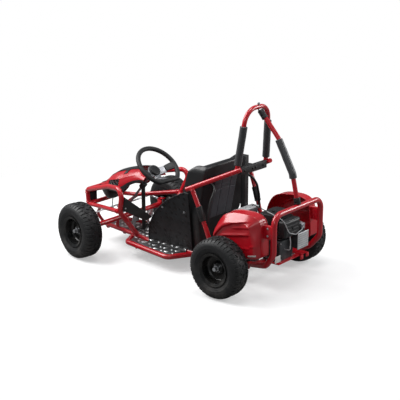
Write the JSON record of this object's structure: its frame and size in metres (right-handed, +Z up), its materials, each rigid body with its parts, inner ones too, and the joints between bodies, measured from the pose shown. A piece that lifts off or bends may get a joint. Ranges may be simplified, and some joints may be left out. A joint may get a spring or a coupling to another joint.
{
  "type": "off road go kart",
  "caption": "Single-seat off-road go kart with a tubular frame, roll hoop, bucket seat, knobbly tyres and a rear petrol engine driving the rear axle by chain.",
  "frame": {"origin": "centre of the kart's bounding box in plan, on the ground its tyres stand on", "axes": "+X the kart's left side, -Y its front, +Z up; front wheels and steering arm stand turned to the kart's right, as pictured"},
  "size_m": [0.9552, 1.4782, 0.9843],
  "materials": {
    "frame": "gloss red powder coat",
    "shell": "gloss red moulded plastic",
    "black": "satin black paint",
    "plastic": "black moulded plastic",
    "tyre": "black tyre rubber",
    "grip": "black rubber",
    "foam": "charcoal foam sleeve",
    "rim": "black painted steel",
    "steel": "zinc plated steel",
    "chequer": "chequer plate",
    "casting": "as-cast metal",
    "vinyl": "black vinyl"
  },
  "bodies": {
    "frame": {"chassis_frame": "frame", "upper_cage": "frame", "strut_clamp_left": "black", "strut_clamp_right": "black", "rear_brace_tube": "frame", "brace_top_clamp": "black", "brace_foot_clamp": "black", "hoop_foam_left": "foam", "hoop_foam_right": "foam", "brace_foam": "foam", "hoop_top_bolt": "steel", "seat_post": "black", "seat_crossbar": "black", "floor_plate": "chequer", "side_step_left": "chequer", "side_step_right": "chequer", "side_guard_left": "plastic", "side_guard_right": "plastic", "leg_guard_left": "plastic", "leg_guard_right": "plastic", "cowl": "shell", "cowl_trim": "plastic", "steering_post": "black", "pedal_bracket": "black", "brake_cable": "grip", "throttle_cable": "steel", "axle_bearing_left": "black", "axle_bearing_right": "black", "brake_caliper": "casting", "drive_chain": "steel", "engine_block": "casting", "blower_housing": "plastic", "fuel_tank": "plastic", "air_box": "plastic", "muffler": "casting", "fender_left": "shell", "fender_right": "shell", "seat_shell": "plastic", "seat_cushion": "vinyl"},
    "steering": {"steering_column": "steel", "steering_wheel_rim": "grip", "steering_wheel_pad": "plastic"},
    "knuckle_left": {"knuckle_left": "steel"},
    "knuckle_right": {"knuckle_right": "steel"},
    "tie_rod_left": {"tie_rod_left": "steel"},
    "tie_rod_right": {"tie_rod_right": "steel"},
    "front_wheel_left": {"tyre_front_left": "tyre", "rim_front_left": "rim"},
    "front_wheel_right": {"tyre_front_right": "tyre", "rim_front_right": "rim"},
    "rear_axle": {"rear_axle": "steel", "axle_sprocket": "steel", "brake_disc": "steel", "tyre_rear_left": "tyre", "rim_rear_left": "rim", "tyre_rear_right": "tyre", "rim_rear_right": "rim"},
    "clutch": {"clutch": "steel"},
    "brake_pedal": {"brake_pedal": "steel"},
    "throttle_pedal": {"throttle_pedal": "steel"}
  },
  "joints": [
    {"name": "steering_turn", "type": "hinge", "parent": "frame", "child": "steering", "pos_m": [0, -0.2775, 0.511], "axis": [0, 0.6665, 0.7455], "range_deg": [-12, 42]},
    {"name": "knuckle_left_turn", "type": "hinge", "parent": "frame", "child": "knuckle_left", "pos_m": [0.325, -0.5325, 0.165], "axis": [0, 0, 1], "range_deg": [-7.8, 26.2]},
    {"name": "knuckle_right_turn", "type": "hinge", "parent": "frame", "child": "knuckle_right", "pos_m": [-0.325, -0.5325, 0.165], "axis": [0, 0, 1], "range_deg": [-7.8, 26.2]},
    {"name": "tie_rod_left_turn", "type": "hinge", "parent": "knuckle_left", "child": "tie_rod_left", "pos_m": [0.29233, -0.60822, 0.21095], "axis": [0, 0, 1], "range_deg": [-27.7, 8.2]},
    {"name": "tie_rod_right_turn", "type": "hinge", "parent": "knuckle_right", "child": "tie_rod_right", "pos_m": [-0.31819, -0.61468, 0.21095], "axis": [0, 0, 1], "range_deg": [-28.1, 8.3]},
    {"name": "front_left_roll", "type": "hinge", "parent": "knuckle_left", "child": "front_wheel_left", "pos_m": [0.39408, -0.54381, 0.165], "axis": [0.9869, -0.1616, 0], "continuous": true},
    {"name": "front_right_roll", "type": "hinge", "parent": "knuckle_right", "child": "front_wheel_right", "pos_m": [-0.39408, -0.52119, 0.165], "axis": [0.9869, -0.1616, 0], "continuous": true},
    {"name": "rear_axle_roll", "type": "hinge", "parent": "frame", "child": "rear_axle", "pos_m": [0, 0.4835, 0.165], "axis": [1, 0, 0], "continuous": true},
    {"name": "clutch_roll", "type": "hinge", "parent": "frame", "child": "clutch", "pos_m": [0, 0.59177, 0.21549], "axis": [1, 0, 0], "continuous": true},
    {"name": "brake_pedal_press", "type": "hinge", "parent": "frame", "child": "brake_pedal", "pos_m": [0.062, -0.4225, 0.118], "axis": [1, 0, 0], "range_deg": [0, 25], "stiffness_Nm_per_rad": 3, "springref_deg": -6.88},
    {"name": "throttle_pedal_press", "type": "hinge", "parent": "frame", "child": "throttle_pedal", "pos_m": [-0.062, -0.4225, 0.118], "axis": [1, 0, 0], "range_deg": [0, 25], "stiffness_Nm_per_rad": 3, "springref_deg": -6.88}
  ],
  "couplings": [
    {"joint": "knuckle_left_turn", "follows": "steering_turn", "ratio": 0.615},
    {"joint": "knuckle_right_turn", "follows": "steering_turn", "ratio": 0.615},
    {"joint": "tie_rod_left_turn", "follows": "steering_turn", "ratio": -0.65},
    {"joint": "tie_rod_right_turn", "follows": "steering_turn", "ratio": -0.66},
    {"joint": "clutch_roll", "follows": "rear_axle_roll", "ratio": 3}
  ]
}
